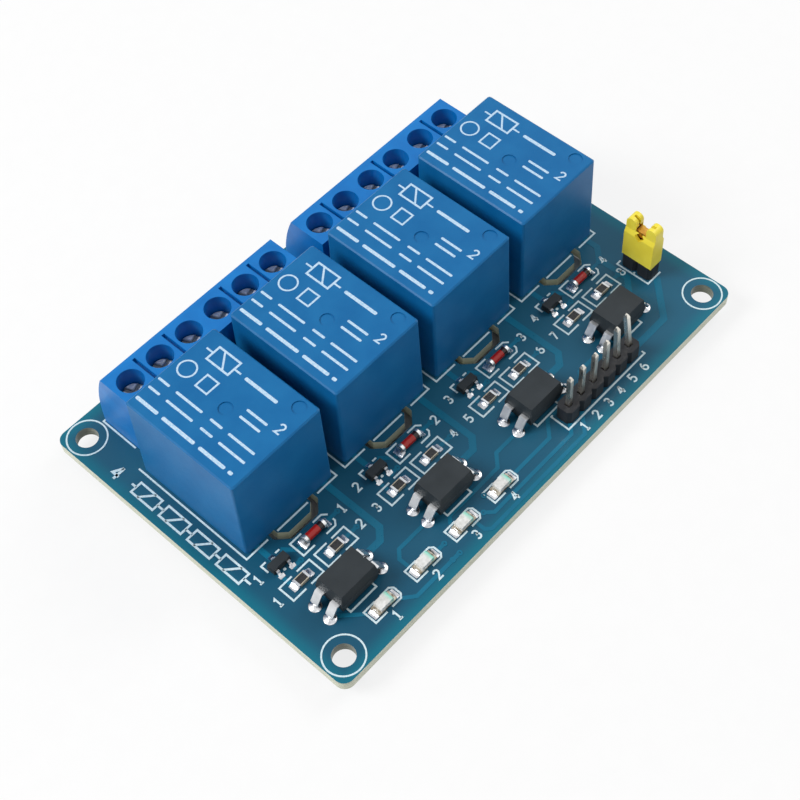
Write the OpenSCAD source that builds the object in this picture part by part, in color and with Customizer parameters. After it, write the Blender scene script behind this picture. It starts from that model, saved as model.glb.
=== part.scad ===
// Four-channel relay module board. Millimetres.
// X runs along the board's long side and Y from the control edge back to the
// terminal blocks. The origin is under the middle of the board, level with the
// tips of the solder tails.

/* [Board] */
// Thickness of the circuit board
board_t = 1.6; // [1.2:0.1:2.4]
// Radius of the board's corners
corner_r = 1.5; // [0.5:0.1:2.5]
// Diameter of the mounting holes
hole_d = 3.1; // [2.5:0.1:3.4]
// Distance from the board's edges to the middle of each mounting hole
hole_inset = 3; // [2.6:0.1:3.4]
// Length of the solder tails below the board
tail_h = 2.1; // [1.6:0.1:3]
// Width of the isolation slots milled round the relays' common pins
slot_w = 1; // [0.8:0.05:1.4]

/* [Relays] */
// Width of a relay
relay_w = 15.4; // [15:0.1:17]
// Length of a relay
relay_l = 19.2; // [18.8:0.1:22]
// Height of a relay
relay_h = 15.5; // [14.5:0.1:20]
// Gap between neighbouring relays
relay_gap = 2.38; // [1.2:0.01:5]
// Bare board to the left of the relays
relay_left = 4.8; // [4.2:0.1:8]
// Bare board to the right of the relays
relay_right = 4.46; // [4.2:0.01:8]
// Distance from the control edge to the relays
relay_y = 21.5; // [21.3:0.1:25]
// Wall of a relay's case
case_wall = 0.9; // [0.6:0.05:1]
// Thickness of the case's top
case_top = 1; // [0.6:0.1:1.4]
// Thickness of the relay's base plate
base_t = 1.4; // [1:0.1:2]
// Distance from a relay's sides to its coil pins and its switched pins
pin_inset = 1.7; // [1.6:0.1:2.2]
// Distance from the relay's front to its common pin
com_y = 2.2; // [2:0.1:2.6]
// Distance from the common pin back to the coil pins
coil_pin_dy = 2; // [1.8:0.1:2.6]
// Distance from a relay's back to its switched pins
throw_back = 2.8; // [2.4:0.1:3.4]
// Diameter of the copper winding
winding_d = 8.4; // [7.4:0.1:8.6]
// Diameter of the iron core
core_d = 3.4; // [2.6:0.1:3.8]
// Thickness of the yoke's steel strip
yoke_t = 1.2; // [0.9:0.1:1.3]
// Thickness of the armature
armature_t = 0.8; // [0.6:0.05:1]
// Angle through which the armature swings shut
swing = 3.5; // [2.5:0.1:4.5]

/* [Terminal blocks] */
// Distance between neighbouring poles
pole_pitch = 5.08; // [5:0.01:5.2]
// Height of a terminal block
term_h = 11.5; // [10.5:0.1:14]
// Depth of a terminal block at its foot
term_d = 8.15; // [7.6:0.05:10]
// Depth of a terminal block's flat top
term_top_d = 6; // [5.4:0.1:7]
// Gap between the relays and the terminal blocks
term_gap = 1.3; // [0.5:0.1:4]
// Bare board behind the terminal blocks
term_back = 2.85; // [1:0.05:6]
// Bare board to the left of the terminal blocks
term_left = 6.4; // [5.4:0.1:7.2]
// Gap between the two groups of terminal blocks
group_gap = 3.9; // [1:0.1:4.8]
// Diameter of the screw wells
well_d = 3.7; // [3.5:0.05:4.2]
// Depth of the wells down to the screw heads
well_depth = 2.6; // [1.5:0.1:3.4]
// Diameter of the screws' shanks
screw_d = 2.5; // [2:0.1:2.6]
// Width of the wire entries
entry_w = 3.6; // [3.4:0.05:3.7]
// Height of the wire entries
entry_h = 3.8; // [3.2:0.1:3.9]

/* [Headers and jumper] */
// Distance between neighbouring header pins
pin_pitch = 2.54; // [2.5:0.01:2.6]
// Side of the square header pins
pin_side = 0.64; // [0.5:0.01:0.7]
// Height of the pins above the headers' plastic
pin_h = 6; // [5.5:0.1:8]
// Height of the headers' plastic
header_h = 2.5; // [2:0.1:3.5]
// Width of the headers' plastic
header_w = 2.5; // [2.2:0.05:2.9]
// Distance from the board's left edge to the first input pin
header_x = 47.3; // [46.6:0.1:48]
// Distance from the control edge to the input pins
header_y = 4.45; // [4:0.05:4.6]
// Distance from the board's right edge to the jumper
jumper_right = 4.9; // [4.2:0.1:5.4]
// Distance from the control edge to the middle of the jumper
jumper_y = 12.35; // [11.8:0.05:14]
// Height of the jumper cap
jumper_h = 7.45; // [6.8:0.05:9]
// Depth of the valley between the jumper's two ears
valley_h = 2; // [1:0.1:2.4]

/* [Small parts] */
// Length of an optocoupler's body across its leads
opto_w = 6.5; // [6:0.1:7]
// Width of an optocoupler's body
opto_d = 4.6; // [4.4:0.1:4.8]
// Height of an optocoupler's body
opto_h = 3.5; // [3:0.1:4.2]
// Distance between an optocoupler's two rows of leads
opto_span = 9.15; // [8.8:0.05:9.6]
// Distance from the control edge to the optocouplers
opto_y = 8.85; // [8.6:0.05:9.2]
// Distance from the control edge to the indicator lamps
led_y = 3.95; // [3:0.05:4.2]
// Distance between neighbouring indicator lamps
led_pitch = 7.4; // [5:0.1:8.5]
// Distance from the control edge to the resistors
resistor_y = 13.85; // [13.4:0.05:14]
// Distance from the control edge to the transistors and diodes
transistor_y = 17.5; // [17.2:0.05:18]
// Diameter of the glass diodes' end caps
diode_d = 1.35; // [1.2:0.05:1.6]

/* [Hidden] */
$fn = 32;
eps = 0.01;
channels = 4;

// Fits
fit = 0.1;          // play round a piece that is pushed into another
running = 0.15;     // play round a piece that moves past another
touch = 0.05;       // air between contacts that just meet

// Heights, up from the top of the board
tip_z = -board_t - tail_h;

// Relay, from the middle of its front foot
case_in_w = relay_w - 2 * case_wall;
case_in_l = relay_l - 2 * case_wall;
case_in_z = relay_h - case_top;
case_draft = 0.15;
case_round = 0.4;
case_bevel = 0.2;
dimple_d = 2;
dimple_depth = 0.15;
gate_dimples = [[0, 9], [6, 2.3]];
relay_pin_w = relay_w - 2 * pin_inset;
base_lift = 0.5;
base_top = base_lift + base_t;
foot_d = 1.2;
blade_t = 0.3;
blade_w = 2.4;
button_d = 2.2;
button_t = 0.2;
throw_y = relay_l - throw_back;
contact_y = throw_y - 0.7;
contact_h = 0.95;
nc_z = case_in_z - fit - blade_t;
moving_top = nc_z - button_t - touch;
armature_z = moving_top - 0.65 - armature_t;
hinge_y = com_y - yoke_t / 2;
hinge_z = armature_z - fit / 2;
yoke_top = armature_z - fit;
yoke_w = 9;
pole_t = 0.8;
pole_d = 6;
core_y = com_y + yoke_t / 2 + 0.2 + winding_d / 2;
pole_top = armature_z - (core_y + pole_d / 2 - hinge_y) * tan(swing) - 1.5 * touch;
no_z = moving_top - contact_h - (contact_y + button_d / 2 - hinge_y) * tan(swing)
    - 1.5 * touch - button_t - blade_t;
flange_t = 0.8;
flange_w = 9.2;
hub_d = core_d + 2 * fit + 1.4;
armature_w = 8;
spring_w = 4;
spring_t = 0.25;
rivet_d = 1.2;
rivet_rise = 0.2;
rivet_gap = (core_y - hinge_y) / 2;
strip_t = 0.4;
coil_pin_d = 0.6;
com_pin = [1, 0.6];
throw_pin = [strip_t, 0.9];

// Board, from its front left corner
board_l = relay_left + channels * relay_w + (channels - 1) * relay_gap + relay_right;
board_w = relay_y + relay_l + term_gap + term_d + term_back;
slot_front = relay_y - 2.15;
slot_half = 3.5;
slot_back = relay_y + com_y + 2;
term_y = relay_y + relay_l + term_gap;

// Terminal block, from its front left foot
block_poles = [3, 3, 2, 2, 2];
term_foot = 1.5;
head_h = 1.4;
shelf_z = term_h - well_depth - head_h;
shelf_t = 0.4;
cage_wall = (entry_w - screw_d - 3 * fit) / 2;
cavity_floor = 1.4;
cavity_front = 1.8;
cavity_d = 3.8;
strip_z = cavity_floor + entry_h - 0.6;
contact_t = 0.6;
leg_front = 0.5;
term_pin = [1, contact_t];

// Headers
header_pins = 6;
jumper_pins = 2;
pin_lean = [0, 0, 0, 1, 4, 8];
tip_l = 0.5;
jumper_w = 2.4;
jumper_l = pin_pitch * jumper_pins - 0.1;
ear_w = 1.65;
window = 1.1;
ear_t = 1.7;
shoulder_h = jumper_h - valley_h - 0.7;
sleeve_t = 0.2;
sleeve_h = 3.4;

// Small parts
opto_dx = -2.55;
opto_lift = 0.5;
opto_lead_z = opto_lift + opto_h * 0.5;
lead_t = 0.25;
opto_lead = [lead_t, 0.5];
led_x = 11.1;
led_l = 3.2;
led_w = 1.5;
led_base_h = 0.4;
lens_l = 2.2;
lens_w = 1.4;
lens_h = 0.75;
lens_bevel = 0.2;
transistor_dx = -6;
sot_l = 2.9;
sot_w = 1.3;
sot_h = 1;
sot_lift = 0.1;
sot_step = 0.05;
sot_pitch = 1.9;
sot_reach = 0.7;
sot_lead_w = 0.45;
sot_lead_t = 0.15;
diode_dx = 0;
resistor_dx = [0.5, -5.7];
diode_l = 3.5;
diode_cap_l = 0.4;
diode_drop = 0.3;
chip_l = 2;
chip_w = 1.25;
chip_h = 0.55;
chip_end = 0.3;

function relay_x(i) = relay_left + relay_w / 2 + i * (relay_w + relay_gap);
function poles_before(b) = b == 0 ? 0 : poles_before(b - 1) + block_poles[b - 1];
function block_x(b) = term_left + poles_before(b) * pole_pitch + (b > 1 ? group_gap : 0);
function pin_x(i) = header_x + i * pin_pitch;
function jumper_pin_y(i) = jumper_y + (i - 0.5) * pin_pitch;
function diagonal(size) = sqrt(size[0] * size[0] + size[1] * size[1]);

jumper_x = board_l - jumper_right;

// Every through-hole pin as [x, y, width, depth], grouped by drill
coil_pins = [for (i = [0:channels - 1], s = [-1, 1])
    [relay_x(i) + s * relay_pin_w / 2, relay_y + com_y + coil_pin_dy, coil_pin_d, coil_pin_d]];
com_pins = [for (i = [0:channels - 1])
    [relay_x(i), relay_y + com_y, com_pin[0], com_pin[1]]];
throw_pins = [for (i = [0:channels - 1], s = [-1, 1])
    [relay_x(i) + s * relay_pin_w / 2, relay_y + throw_y, throw_pin[0], throw_pin[1]]];
term_pins = [for (b = [0:len(block_poles) - 1], p = [0:block_poles[b] - 1])
    [block_x(b) + (p + 0.5) * pole_pitch, term_y + leg_front + contact_t / 2,
     term_pin[0], term_pin[1]]];
input_pins = [for (i = [0:header_pins - 1]) [pin_x(i), header_y, pin_side, pin_side]];
link_pins = [for (i = [0:jumper_pins - 1]) [jumper_x, jumper_pin_y(i), pin_side, pin_side]];
opto_pins = [for (i = [0:channels - 1], sx = [-1, 1], sy = [-1, 1])
    [relay_x(i) + opto_dx + sx * opto_span / 2, opto_y + sy * pin_pitch / 2,
     opto_lead[0], opto_lead[1]]];
through_pins = concat(coil_pins, com_pins, throw_pins, term_pins, input_pins, link_pins,
    opto_pins);

// Puts a piece on the board's top face, from its front left corner
module on_board() {
    translate([-board_l / 2, -board_w / 2, board_t + tail_h]) children();
}

// A box from a corner [x, y, z] centred on X only
module bar(w, d, h, y = 0, z = 0) {
    translate([-w / 2, y, z]) cube([w, d, h]);
}

// A flat plate with round corners, its lower left corner at the origin
module round_plate(l, w, r) {
    translate([r, 0]) square([l - 2 * r, w]);
    translate([0, r]) square([l, w - 2 * r]);
    for (x = [r, l - r], y = [r, w - r]) translate([x, y]) circle(r, $fn = 48);
}

// A slot's outline through a run of points, with round joints
module slot_path(points, w) {
    for (i = [0:len(points) - 2]) {
        step = points[i + 1] - points[i];
        translate(points[i]) rotate(atan2(step[1], step[0])) {
            translate([0, -w / 2]) square([norm(step), w]);
            circle(d = w);
        }
    }
    translate(points[len(points) - 1]) circle(d = w);
}

// ---- Circuit board ----

module isolation_slot() {
    bend = 1.35;
    slot_path([
        [-slot_half, slot_back],
        [-slot_half, slot_front + bend],
        [-slot_half + bend, slot_front],
        [slot_half - bend, slot_front],
        [slot_half, slot_front + bend],
        [slot_half, slot_back]
    ], slot_w);
}

module board_outline() {
    difference() {
        round_plate(board_l, board_w, corner_r);
        for (x = [hole_inset, board_l - hole_inset], y = [hole_inset, board_w - hole_inset])
            translate([x, y]) circle(d = hole_d, $fn = 64);
        for (i = [0:channels - 1]) translate([relay_x(i), 0]) isolation_slot();
        for (p = through_pins)
            translate([p[0], p[1]]) circle(d = diagonal([p[2], p[3]]) + 2 * fit, $fn = 24);
    }
}

module circuit_board() {
    color("#2a6076") on_board() translate([0, 0, -board_t])
        linear_extrude(board_t) board_outline();
}

// ---- Relay ----

module at_relay(i) {
    on_board() translate([relay_x(i), relay_y, 0]) children();
}

// Outline of the case, shrunk by a margin on every side
module case_slab(margin, h) {
    translate([-relay_w / 2 + margin, margin, 0]) linear_extrude(h)
        round_plate(relay_w - 2 * margin, relay_l - 2 * margin, case_round);
}

module relay_case(i) {
    color("#2e76b2") at_relay(i) difference() {
        hull() {
            case_slab(0, eps, $fn = 16);
            translate([0, 0, relay_h - case_bevel]) case_slab(case_draft, eps, $fn = 16);
            translate([0, 0, relay_h - eps]) case_slab(case_draft + case_bevel, eps, $fn = 16);
        }
        translate([-case_in_w / 2, case_wall, -eps]) cube([case_in_w, case_in_l, case_in_z + eps]);
        for (p = gate_dimples) translate([p[0], p[1], relay_h - dimple_depth])
            cylinder(d = dimple_d, h = 1);
    }
}

module pin_slots(pins) {
    for (p = pins) translate([p[0] - p[2] / 2 - fit, p[1] - p[3] / 2 - fit, 0])
        cube([p[2] + 2 * fit, p[3] + 2 * fit, base_t + 2 * eps]);
}

module relay_base(i) {
    foot_x = case_in_w / 2 - foot_d;
    half_pin = relay_pin_w / 2;
    color("#1d3c5c") at_relay(i) {
        difference() {
            translate([0, 0, base_lift])
                bar(case_in_w - 2 * fit, case_in_l - 2 * fit, base_t, y = case_wall + fit);
            translate([0, 0, base_lift - eps]) {
                pin_slots([
                    [0, com_y, com_pin[0], com_pin[1]],
                    [-half_pin, throw_y, throw_pin[0], throw_pin[1]],
                    [half_pin, throw_y, throw_pin[0], throw_pin[1]]
                ]);
                for (s = [-1, 1]) translate([s * half_pin, com_y + coil_pin_dy, 0])
                    cylinder(d = coil_pin_d + 2 * fit, h = base_t + 2 * eps, $fn = 24);
            }
        }
        for (s = [-1, 1]) {
            translate([s * foot_x, case_wall + foot_d, 0]) cylinder(d = foot_d, h = base_lift);
            translate([s * 3, relay_l - case_wall - foot_d, 0])
                cylinder(d = foot_d, h = base_lift);
        }
    }
}

// Steel yoke with its riveted core; its foot runs down as the common pin
module relay_yoke(i) {
    color("#9aa0a6") at_relay(i) {
        bar(yoke_w, yoke_t, yoke_top - base_top, y = hinge_y, z = base_top);
        bar(yoke_w, core_y + pole_d / 2 - hinge_y, yoke_t, y = hinge_y, z = base_top);
        translate([0, core_y, base_top + yoke_t / 2])
            cylinder(d = core_d, h = pole_top - base_top - yoke_t / 2);
        translate([0, core_y, pole_top - pole_t]) cylinder(d = pole_d, h = pole_t);
        bar(com_pin[0], com_pin[1], base_top + yoke_t / 2 - tip_z,
            y = com_y - com_pin[1] / 2, z = tip_z);
    }
}

module relay_bobbin(i) {
    low = base_top + yoke_t;
    high = pole_top - pole_t;
    color("#e8e2d0") at_relay(i) difference() {
        union() {
            for (z = [low, high - flange_t])
                bar(flange_w, winding_d, flange_t, y = core_y - winding_d / 2, z = z);
            translate([0, core_y, low]) cylinder(d = hub_d, h = high - low);
        }
        translate([0, core_y, low - eps]) cylinder(d = core_d + 2 * fit, h = high - low + 2 * eps);
    }
}

module relay_winding(i) {
    low = base_top + yoke_t + flange_t;
    high = pole_top - pole_t - flange_t;
    color("#a8552a") at_relay(i) translate([0, core_y, low]) difference() {
        cylinder(d = winding_d, h = high - low);
        translate([0, 0, -eps]) cylinder(d = hub_d + fit, h = high - low + 2 * eps);
    }
}

// Armature plate with its contact spring and moving contact, riveted together
module relay_armature(i) {
    spring_y = hinge_y + 2.4;
    plate_end = core_y + pole_d / 2 + 0.8;
    color("#b98a4a") at_relay(i) {
        bar(armature_w, plate_end - hinge_y, armature_t, y = hinge_y, z = armature_z);
        bar(spring_w, contact_y + blade_w / 2 - spring_y, spring_t,
            y = spring_y, z = armature_z + armature_t);
        translate([0, contact_y, moving_top - contact_h]) cylinder(d = button_d, h = contact_h);
        for (y = [0, rivet_gap])
            translate([0, spring_y + rivet_d + y, armature_z + armature_t])
                cylinder(d = rivet_d, h = spring_t + rivet_rise);
    }
}

// A fixed contact: its pin rises through the base and turns in over the middle
module fixed_contact(side, arm_z, button_z) {
    x = side * relay_pin_w / 2;
    strip_y = throw_y + throw_pin[1] / 2 - blade_w;
    reach = relay_pin_w / 2 + strip_t / 2 + button_d / 2;
    translate([x - strip_t / 2, strip_y, base_top])
        cube([strip_t, blade_w, arm_z + blade_t - base_top]);
    translate([side > 0 ? x + strip_t / 2 - reach : x - strip_t / 2, strip_y, arm_z])
        cube([reach, blade_w, blade_t]);
    translate([x - strip_t / 2, throw_y - throw_pin[1] / 2, tip_z])
        cube([strip_t, throw_pin[1], base_top + 1 - tip_z]);
    translate([0, contact_y, button_z]) cylinder(d = button_d, h = button_t);
}

module relay_contacts(i) {
    color("#c49a52") at_relay(i) {
        fixed_contact(1, nc_z, nc_z - button_t);
        fixed_contact(-1, no_z, no_z + blade_t);
        for (s = [-1, 1])
            translate([s * relay_pin_w / 2, com_y + coil_pin_dy, tip_z])
                cylinder(d = coil_pin_d, h = base_top + 2.6 - tip_z, $fn = 24);
    }
}

// ---- Terminal blocks ----

module at_block(b) {
    on_board() translate([block_x(b), term_y, 0]) children();
}

// Side view of the housing: the wire side leans in toward the flat top
module block_profile() {
    steps = 8;
    lean = [for (i = [0:steps]) let (s = i / steps)
        [term_top_d + (term_d - term_top_d) * (1 - s * s), term_foot + (term_h - term_foot) * s]];
    polygon(concat([[0, 0], [term_d, 0]], lean, [[0, term_h]]));
}

module pole_cuts() {
    strip_slot = [for (v = term_pin) v + 2 * fit];
    translate([0, term_top_d / 2, term_h - well_depth - head_h])
        cylinder(d = well_d, h = well_depth + head_h + 1, $fn = 48);
    translate([0, term_top_d / 2, shelf_z - shelf_t - eps])
        cylinder(d = screw_d + 2 * running, h = shelf_t + 2 * eps);
    bar(entry_w, cavity_d, shelf_z - shelf_t - cavity_floor, y = term_top_d / 2 - cavity_d / 2,
        z = cavity_floor);
    bar(entry_w, term_d, entry_h, y = term_top_d / 2, z = cavity_floor);
    bar(term_pin[0] + 2 * fit, cavity_d, strip_z + contact_t + fit - cavity_floor,
        y = leg_front - fit, z = cavity_floor);
    translate([-strip_slot[0] / 2, leg_front - fit, -eps])
        cube([strip_slot[0], strip_slot[1], cavity_floor + 2 * eps]);
}

module terminal_block(b) {
    poles = block_poles[b];
    groove_w = 0.5;
    color("#1e78c0") at_block(b) {
        difference() {
            rotate([90, 0, 90]) linear_extrude(poles * pole_pitch) block_profile();
            for (p = [0:poles - 1]) translate([(p + 0.5) * pole_pitch, 0, 0]) pole_cuts();
            for (p = [1:poles - 1])
                translate([p * pole_pitch - groove_w / 2, -eps, term_h - 0.7])
                    cube([groove_w, term_top_d - 0.7, 1]);
        }
    }
}

// Repeats a piece at every pole, from the front foot of the pole's middle
module at_each_pole() {
    for (b = [0:len(block_poles) - 1]) at_block(b)
        for (p = [0:block_poles[b] - 1])
            translate([(p + 0.5) * pole_pitch, 0, 0]) children();
}

module terminal_screws() {
    slot_t = 0.7;
    rim = 0.35;
    head_d = well_d - 2 * running;
    tip = strip_z + contact_t;
    color("#c8ccd0") at_each_pole() translate([0, term_top_d / 2, 0]) {
        translate([0, 0, tip]) cylinder(d = screw_d, h = shelf_z + eps - tip);
        translate([0, 0, shelf_z]) difference() {
            union() {
                cylinder(d = head_d, h = head_h - rim, $fn = 48);
                translate([0, 0, head_h - rim])
                    cylinder(d1 = head_d, d2 = head_d - 2 * rim, h = rim, $fn = 48);
            }
            for (a = [20, 110]) rotate(a) translate([-head_d / 2, -slot_t / 2, head_h - 0.6])
                cube([head_d, slot_t, 1]);
        }
    }
}

// Rising cage that lifts the wire against the contact strip
module wire_clamps() {
    low = cavity_floor + fit;
    high = shelf_z - shelf_t - fit;
    cage_w = entry_w - 2 * fit;
    cage_d = cavity_d - 2 * fit;
    color("#b8bcc2") at_each_pole() translate([0, (term_top_d - cage_d) / 2, 0]) difference() {
        bar(cage_w, cage_d, high - low, z = low);
        bar(cage_w - 2 * cage_wall, cage_d + 2, high - low - 2 * cage_wall, y = -1,
            z = low + cage_wall);
        translate([0, cage_d / 2, high - 1]) cylinder(d = screw_d + fit, h = 2);
    }
}

// Contact strip through the cage, turned down at the front as the solder pin
module terminal_contacts() {
    strip_w = entry_w - 2 * fit - 2 * cage_wall - 2 * fit;
    cage_front = term_top_d / 2 - cavity_d / 2 + fit;
    color("#c9b27a") at_each_pole() {
        bar(term_pin[0], cavity_d - 0.2, contact_t, y = leg_front, z = strip_z);
        bar(strip_w, cavity_d - 0.6, contact_t, y = cage_front, z = strip_z);
        bar(term_pin[0], term_pin[1], strip_z + contact_t - tip_z, y = leg_front, z = tip_z);
    }
}

// ---- Headers and jumper ----

// Header plastic: one chamfered block for each pin, in a row along X
module header_plastic(count) {
    cut = 0.5;
    half = header_w / 2;
    pitch = pin_pitch / 2;
    linear_extrude(header_h) difference() {
        for (i = [0:count - 1]) translate([i * pin_pitch, 0]) polygon([
            [-pitch, -half + cut], [-pitch + cut, -half], [pitch - cut, -half],
            [pitch, -half + cut], [pitch, half - cut], [pitch - cut, half],
            [-pitch + cut, half], [-pitch, half - cut]
        ]);
        for (i = [0:count - 1]) translate([i * pin_pitch, 0])
            square(pin_side + 2 * fit, center = true);
    }
}

// Square pin with a blunt tip; the length above the plastic can lean back
module header_pin(lean) {
    translate([-pin_side / 2, -pin_side / 2, tip_z]) cube([pin_side, pin_side, header_h - tip_z]);
    translate([0, 0, header_h]) rotate([-lean, 0, 0]) {
        translate([-pin_side / 2, -pin_side / 2, -0.02])
            cube([pin_side, pin_side, pin_h - tip_l + 0.02]);
        translate([0, 0, pin_h - tip_l]) intersection() {
            rotate([90, 0, 90]) linear_extrude(pin_side, center = true) pin_tip(tip_l);
            rotate([90, 0, 0]) linear_extrude(pin_side, center = true) pin_tip(tip_l);
        }
    }
}

module pin_tip(h) {
    half = pin_side / 2;
    polygon([[-half, -eps], [half, -eps], [half, 0], [half * 0.45, h], [-half * 0.45, h],
        [-half, 0]]);
}

module input_header_base() {
    color("#2b2b2e") on_board() translate([header_x, header_y, 0]) header_plastic(header_pins);
}

module input_header_pins() {
    color("#d8cfa8") on_board() for (i = [0:header_pins - 1])
        translate([pin_x(i), header_y, 0]) header_pin(pin_lean[i]);
}

module jumper_header_base() {
    color("#2b2b2e") on_board() translate([jumper_x, jumper_pin_y(0), 0])
        rotate(90) header_plastic(jumper_pins);
}

module jumper_header_pins() {
    color("#d8cfa8") on_board() for (i = [0:jumper_pins - 1])
        translate([jumper_x, jumper_pin_y(i), 0]) header_pin(0);
}

module at_jumper() {
    on_board() translate([jumper_x, jumper_y, header_h]) children();
}

// Long side of the cap: two round ears with a valley between
module jumper_side() {
    round_r = 0.8;
    rise = jumper_h - valley_h;
    translate([-jumper_l / 2, 0]) square([jumper_l, rise]);
    for (s = [-1, 1]) translate([s * (jumper_l - ear_w) / 2, rise - eps]) {
        translate([-ear_w / 2, 0]) square([ear_w, valley_h - round_r + eps]);
        for (e = [-1, 1]) translate([e * (ear_w / 2 - round_r), valley_h - round_r + eps])
            circle(round_r, $fn = 40);
        translate([-(ear_w / 2 - round_r), 0]) square([ear_w - 2 * round_r, valley_h]);
    }
}

// End of the cap: the sides step in above the shoulder
module jumper_end() {
    half = jumper_w / 2;
    ear = ear_t / 2;
    polygon([[-half, 0], [half, 0], [half, shoulder_h], [ear, shoulder_h + 0.7],
        [ear, jumper_h + eps], [-ear, jumper_h + eps], [-ear, shoulder_h + 0.7],
        [-half, shoulder_h]]);
}

module jumper_cap() {
    pocket_w = pin_side + 2 * (2 * fit + sleeve_t);
    pocket_l = pin_pitch + pocket_w;
    slot_t = 0.45;
    color("#e8d93c") at_jumper() difference() {
        intersection() {
            rotate([90, 0, 90]) linear_extrude(jumper_w, center = true) jumper_side();
            rotate([90, 0, 0]) linear_extrude(jumper_l, center = true) jumper_end();
        }
        translate([-pocket_w / 2, -pocket_l / 2, -eps])
            cube([pocket_w, pocket_l, pin_h + fit]);
        translate([-slot_t / 2, -jumper_l * 0.36, shoulder_h - 1])
            cube([slot_t, jumper_l * 0.72, jumper_h]);
        translate([0, 0, jumper_h - valley_h - 0.45]) rotate([0, 90, 0]) rotate(45)
            cube([window, window, 2 * jumper_w], center = true);
    }
}

// Folded spring contact: a sleeve round each pin and a bridge between them
module jumper_contact() {
    sleeve = pin_side + 2 * fit + 2 * sleeve_t;
    low = pin_h - sleeve_h - 0.4;
    color("#d0a040") at_jumper() difference() {
        translate([-sleeve / 2, -(pin_pitch + sleeve) / 2, low])
            cube([sleeve, pin_pitch + sleeve, sleeve_h]);
        for (s = [-1, 1]) translate([0, s * pin_pitch / 2, low + sleeve_h / 2])
            cube([pin_side + 2 * fit, pin_side + 2 * fit, sleeve_h + 2], center = true);
        gap = pin_pitch - sleeve;
        translate([-sleeve, -gap / 2, low - 1]) cube([2 * sleeve, gap, sleeve_h]);
    }
}

// ---- Small parts ----

module at_opto(i) {
    on_board() translate([relay_x(i) + opto_dx, opto_y, 0]) children();
}

module opto_slab(margin) {
    translate([-opto_w / 2 + margin, -opto_d / 2 + margin, 0])
        cube([opto_w - 2 * margin, opto_d - 2 * margin, eps]);
}

module optocoupler(i) {
    color("#33363b") at_opto(i) hull() {
        translate([0, 0, opto_lift]) opto_slab(0.25);
        translate([0, 0, opto_lead_z]) opto_slab(0);
        translate([0, 0, opto_lift + opto_h - eps]) opto_slab(0.3);
    }
}

// One lead, seen from the side: out of the body, sloping down, then straight
module opto_lead_path(foot) {
    out = opto_span / 2;
    body = opto_w / 2;
    polygon([
        [body, opto_lead_z - lead_t / 2], [body + 0.35, opto_lead_z - lead_t / 2],
        [out - lead_t / 2, foot], [out - lead_t / 2, foot - 0.3], [out + lead_t / 2, foot - 0.3],
        [out + lead_t / 2, foot], [body + 0.5, opto_lead_z + lead_t / 2],
        [body, opto_lead_z + lead_t / 2]
    ]);
}

module optocoupler_leads() {
    knee = 0.9;
    color("#d2d5d8") for (i = [0:channels - 1]) at_opto(i)
        for (turn = [0, 180], s = [-1, 1]) rotate(turn) translate([0, s * pin_pitch / 2, 0]) {
            rotate([90, 0, 0]) linear_extrude(1.2, center = true) opto_lead_path(knee);
            translate([opto_span / 2 - lead_t / 2, -opto_lead[1] / 2, tip_z])
                cube([lead_t, opto_lead[1], knee - tip_z]);
        }
}

module at_each_led() {
    on_board() for (i = [0:channels - 1]) translate([led_x + i * led_pitch, led_y, 0]) children();
}

module led_bases() {
    color("#e6dcc0") at_each_led() translate([0, 0, led_base_h / 2])
        cube([led_l, led_w, led_base_h], center = true);
}

module led_lenses() {
    color("#f0f2ee") at_each_led() translate([0, 0, led_base_h]) difference() {
        translate([-lens_l / 2, -lens_w / 2, 0]) cube([lens_l, lens_w, lens_h]);
        for (s = [-1, 1]) translate([s * lens_l / 2, 0, lens_h]) rotate([0, s * 45, 0])
            cube([lens_bevel, 2 * lens_w, lens_bevel], center = true);
    }
}

module at_each_diode() {
    on_board() for (i = [0:channels - 1])
        translate([relay_x(i) + diode_dx, transistor_y - diode_drop, diode_d / 2])
            rotate([0, 90, 0]) children();
}

module diode_glass() {
    glass_l = diode_l - 2 * diode_cap_l;
    color("#c03a2a") at_each_diode() cylinder(d = diode_d - 0.2, h = glass_l, center = true);
}

module diode_caps() {
    color("#d2d5d8") at_each_diode() for (s = [-1, 1])
        translate([0, 0, s * (diode_l - diode_cap_l) / 2])
            cylinder(d = diode_d, h = diode_cap_l, center = true);
}

module at_each_transistor() {
    on_board() for (i = [0:channels - 1])
        translate([relay_x(i) + transistor_dx, transistor_y, 0]) children();
}

module transistor_bodies() {
    color("#2b2b2e") at_each_transistor() {
        translate([-sot_l / 2, -sot_w / 2, sot_lift]) cube([sot_l, sot_w, sot_h / 2]);
        translate([-sot_l / 2 + sot_step, -sot_w / 2 + sot_step, sot_lift + sot_h / 2])
            cube([sot_l - 2 * sot_step, sot_w - 2 * sot_step, sot_h / 2]);
    }
}

// Gull-wing lead: out of the body at half height and down to its foot
module transistor_lead() {
    root = sot_w / 2;
    low = sot_lift + sot_h / 2 - 2 * sot_lead_t / 3;
    rotate([90, 0, 90]) linear_extrude(sot_lead_w, center = true) polygon([
        [root, low + sot_lead_t], [root + 2 * sot_lead_t, low + sot_lead_t],
        [root + 8 * sot_lead_t / 3, sot_lead_t], [root + sot_reach, sot_lead_t],
        [root + sot_reach, 0], [root + 1.8 * sot_lead_t, 0],
        [root + 1.15 * sot_lead_t, low], [root, low]
    ]);
}

module transistor_leads() {
    color("#d2d5d8") at_each_transistor() {
        transistor_lead();
        for (x = [-sot_pitch / 2, sot_pitch / 2])
            translate([x, 0, 0]) rotate(180) transistor_lead();
    }
}

module at_each_resistor() {
    on_board() for (i = [0:channels - 1], dx = resistor_dx)
        translate([relay_x(i) + dx, resistor_y, 0]) children();
}

module resistor_bodies() {
    color("#2a2a2c") at_each_resistor() translate([0, 0, chip_h / 2])
        cube([chip_l - 2 * chip_end, chip_w, chip_h], center = true);
}

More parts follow.
